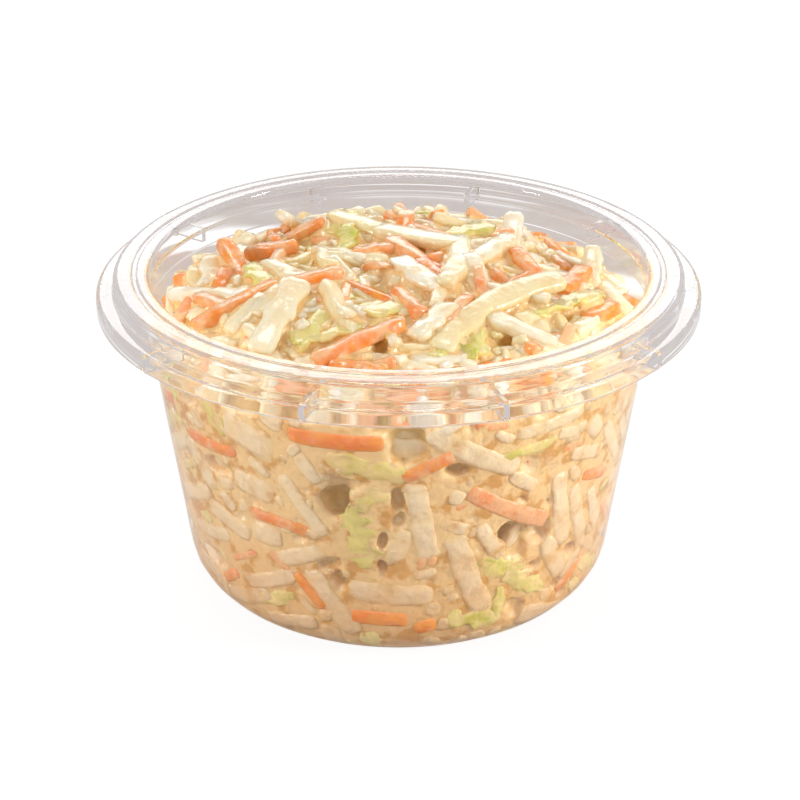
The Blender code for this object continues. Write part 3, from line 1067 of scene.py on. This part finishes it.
def covering(nodes):
    """Share of dressing over a shred: its own coat, patchy, and more where it meets the dressing."""
    patch = nodes.noise(380, 3.0, 0.6)
    own_share = nodes.times(nodes.attribute("coat"), 0.42)
    level = nodes.math("ADD", own_share, nodes.math("SUBTRACT", patch, 0.17))
    own = nodes.ramp(level, 0.28, 0.66)
    film = nodes.times(nodes.attribute("film"), 0.75)
    return nodes.math("MAXIMUM", own, film)


def leaf_material():
    nodes = Nodes("green_cabbage")
    vein = nodes.ramp(nodes.noise(260, 3.0), 0.40, 0.60)
    leaf = nodes.mix(vein, GREEN, GREEN_PALE)
    leaf = nodes.mix(nodes.ramp(nodes.attribute("tone"), 0.55, 0.9, 0.0, 0.6), leaf, GREEN_PALE)
    colour = nodes.mix(nodes.times(covering(nodes), 0.8), leaf, CREAM)
    # painted shade: golden brown deep in the hollows
    colour = nodes.mix(nodes.times(nodes.attribute("deep"), 0.5), colour, HOLLOW_SHADE)
    wet(nodes, colour)
    return nodes.material


def carrot_material():
    nodes = Nodes("carrot")
    core = nodes.mix(nodes.ramp(nodes.noise(300, 2.0), 0.35, 0.65), CARROT, CARROT_DEEP)
    cover = covering(nodes)
    colour = nodes.mix(nodes.times(cover, 0.9), core, SALMON)
    colour = nodes.mix(nodes.ramp(cover, 0.75, 1.0, 0.0, 0.35), colour, CREAM)
    wet(nodes, colour)
    return nodes.material


def plastic_material():
    nodes = Nodes("clear_plastic_moulded")
    shader = nodes.shader
    shader.inputs["Base Color"].default_value = (0.938, 0.944, 0.967, 1.0)
    shader.inputs["Transmission Weight"].default_value = 1.0
    shader.inputs["Roughness"].default_value = 0.0
    shader.inputs["IOR"].default_value = 1.46
    nodes.bump(nodes.noise(90, 1.0), 0.12, 0.0006)
    # lamps reach the salad through the pot
    path = nodes.node("ShaderNodeLightPath")
    clear = nodes.node("ShaderNodeBsdfTransparent")
    clear.inputs["Color"].default_value = (0.96, 0.955, 0.965, 1.0)
    mix = nodes.node("ShaderNodeMixShader")
    nodes.link(path.outputs["Is Shadow Ray"], mix.inputs[0])
    nodes.link(shader.outputs[0], mix.inputs[1])
    nodes.link(clear.outputs[0], mix.inputs[2])
    nodes.link(mix.outputs[0], nodes.output.inputs["Surface"])
    return nodes.material


# ======== stage, lamps and camera
SEEN_THROUGH = (0.655, 0.595, 0.565, 1)     # floor and world as the plastic shows them
# painted reflection: streaks that glow on the floor, seen through the plastic in place of lamp reflections
# in the pot's wall
STREAK_REFLECTION_GLOW = (1.2, 1.2, 1.2, 1)
FLOOR = (0.86, 0.86, 0.86, 1)
FLOOR_WHITE = (1.1, 1.1, 1.1, 1)
FLOOR_WHITE_SHARE = 0.82
AMBIENT = (0.38, 0.38, 0.38, 1)
BRIGHT = (0.8, 0.8, 0.8, 1)
WHITE = (1, 1, 1, 1)


def painted_reflection_streaks(nodes):
    """Painted reflection: bright glowing streaks that run round the pot on the floor, longer than they are
    wide, seen through the plastic in place of lamp reflections in its wall.
    """
    split = nodes.node("ShaderNodeSeparateXYZ")
    nodes.link(nodes.place, split.inputs[0])
    x, y = split.outputs["X"], split.outputs["Y"]
    angle = nodes.math("ARCTAN2", x, y)
    squares = nodes.math("ADD", nodes.times(x, x), nodes.times(y, y))
    radius = nodes.math("SQRT", squares, 0)
    joined = nodes.node("ShaderNodeCombineXYZ")
    nodes.link(nodes.times(angle, 1.6), joined.inputs["X"])
    nodes.link(nodes.times(radius, 45), joined.inputs["Y"])
    cloud = nodes.node("ShaderNodeTexNoise")
    cloud.inputs["Scale"].default_value = 1.0
    cloud.inputs["Detail"].default_value = 2.0
    nodes.link(joined.outputs[0], cloud.inputs["Vector"])
    return nodes.ramp(cloud.outputs["Fac"], 0.56, 0.68)


def build_stage():
    bpy.ops.mesh.primitive_plane_add(size=3.0, location=(0, 0, 0))
    floor = bpy.context.object
    floor.name = "floor"
    nodes = Nodes("pale_floor")
    nodes.shader.inputs["Base Color"].default_value = FLOOR
    nodes.shader.inputs["Roughness"].default_value = 0.9
    nodes.shader.inputs["Specular IOR Level"].default_value = 0.0
    path = nodes.node("ShaderNodeLightPath")
    # the camera sees a nearly white floor that keeps a little of the pot's shadow
    white = nodes.node("ShaderNodeEmission")
    white.inputs["Color"].default_value = FLOOR_WHITE
    seen = nodes.node("ShaderNodeMixShader")
    nodes.link(nodes.times(path.outputs["Is Camera Ray"], FLOOR_WHITE_SHARE), seen.inputs[0])
    nodes.link(nodes.shader.outputs[0], seen.inputs[1])
    nodes.link(white.outputs[0], seen.inputs[2])
    # through the plastic it looks a little greyer, with glowing streaks round the pot painted in as lamp
    # reflections
    through = nodes.node("ShaderNodeEmission")
    nodes.link(nodes.mix(painted_reflection_streaks(nodes), SEEN_THROUGH, STREAK_REFLECTION_GLOW), through.inputs["Color"])
    mix = nodes.node("ShaderNodeMixShader")
    nodes.link(path.outputs["Is Transmission Ray"], mix.inputs[0])
    nodes.link(seen.outputs[0], mix.inputs[1])
    nodes.link(through.outputs[0], mix.inputs[2])
    nodes.link(mix.outputs[0], nodes.output.inputs["Surface"])
    floor.data.materials.append(nodes.material)

    world = bpy.data.worlds.new("studio")
    bpy.context.scene.world = world
    world.use_nodes = True
    tree = world.node_tree
    path = tree.nodes.new("ShaderNodeLightPath")
    background = tree.nodes["Background"]
    background.inputs["Color"].default_value = AMBIENT
    shown = background.outputs[0]
    for ray, colour in (("Is Glossy Ray", BRIGHT), ("Is Camera Ray", WHITE),
                        ("Is Transmission Ray", SEEN_THROUGH)):
        seen = tree.nodes.new("ShaderNodeBackground")
        seen.inputs["Color"].default_value = colour
        mix = tree.nodes.new("ShaderNodeMixShader")
        tree.links.new(path.outputs[ray], mix.inputs[0])
        tree.links.new(shown, mix.inputs[1])
        tree.links.new(seen.outputs[0], mix.inputs[2])
        shown = mix.outputs[0]
    tree.links.new(shown, tree.nodes["World Output"].inputs["Surface"])


def lamp(name, location, target, size, power):
    light = bpy.data.lights.new(name, "AREA")
    light.shape = "RECTANGLE"
    light.size, light.size_y = size
    light.energy = power
    obj = bpy.data.objects.new(name, light)
    obj.location = location
    obj.rotation_euler = (Vector(target) - Vector(location)).to_track_quat("-Z", "Y").to_euler()
    bpy.context.scene.collection.objects.link(obj)
    obj.visible_transmission = False


def build_lights():
    middle = (0, 0, 0.04)
    lamp("soft_left", (-0.59, -0.24, 0.24), middle, (0.10, 0.28), 1.5)
    lamp("soft_right", (0.60, -0.21, 0.24), middle, (0.12, 0.30), 2.4)
    lamp("overhead", (0.0, 0.10, 0.75), middle, (0.22, 0.16), 1.0)
    lamp("behind", (0.0, 0.95, 0.52), middle, (0.80, 0.32), 2.4)
    lamp("front_high", (0.08, -0.66, 0.56), middle, (0.14, 0.10), 0.42)
    lamp("front_low", (-0.12, -0.80, 0.12), middle, (0.06, 0.05), 0.08)


def build_camera():
    elevation = math.radians(25.76)
    distance = 0.3877
    target = Vector((0.0002, 0.0, 0.0295))
    back = Vector((0, -math.cos(elevation), math.sin(elevation)))
    data = bpy.data.cameras.new("camera")
    data.sensor_width = 36
    data.lens = 108
    data.clip_start = 0.01
    camera = bpy.data.objects.new("camera", data)
    camera.location = target + back * distance
    camera.rotation_euler = (-back).to_track_quat("-Z", "Y").to_euler()
    bpy.context.scene.collection.objects.link(camera)
    bpy.context.scene.camera = camera


# ======== put together
def build_salad():
    """The salad's pieces, each with its slot."""
    batches = build_shreds()
    core = build_core()
    crumbs = build_crumbs()
    shapes = [core, crumbs[:2]] + [batches[kind].arrays()[:2] for kind in ("carrot", "white", "leaf")]
    dressing = build_dressing([(keep_inside(points, 0.0), faces) for points, faces in shapes])
    settle(dressing, DRESSING_REACH, dressing_material())
    surface = BVHTree.FromPolygons(
        [v.co[:] for v in dressing.data.vertices], [p.vertices[:] for p in dressing.data.polygons])
    made = [(dressing, "coleslaw")]
    cabbage = cabbage_material()
    for name, parts, reach, material, slot in (
            ("carrot_shreds", batches["carrot"].arrays(), SHRED_REACH, carrot_material(), "carrot"),
            ("white_cabbage_shreds", batches["white"].arrays(), SHRED_REACH, cabbage, "cabbage"),
            ("green_cabbage_shreds", batches["leaf"].arrays(), SHRED_REACH, leaf_material(),
             "cabbage_green"),
            ("cabbage_crumbs", crumbs, CRUMB_REACH, cabbage, "cabbage")):
        verts, faces, coat, tone = parts
        obj = make_object(name, verts, faces)
        add_value(obj, "coat", coat)
        add_value(obj, "tone", tone)
        settle(obj, reach, material)
        film_from(obj, surface)
        made.append((obj, slot))
    return made


build_camera()
build_lights()
build_stage()

pot = build_pot()
pot.data.materials.clear()
pot.data.materials.append(plastic_material())
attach(pot, "root")
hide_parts("cup")

for piece, slot in build_salad():
    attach(piece, "root")
    if piece.name == "salad_dressing":
        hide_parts("coleslaw")

scene = bpy.context.scene
scene.view_settings.view_transform = "Standard"
scene.cycles.max_bounces = 48
scene.cycles.transmission_bounces = 48
scene.cycles.glossy_bounces = 32
scene.cycles.transparent_max_bounces = 24
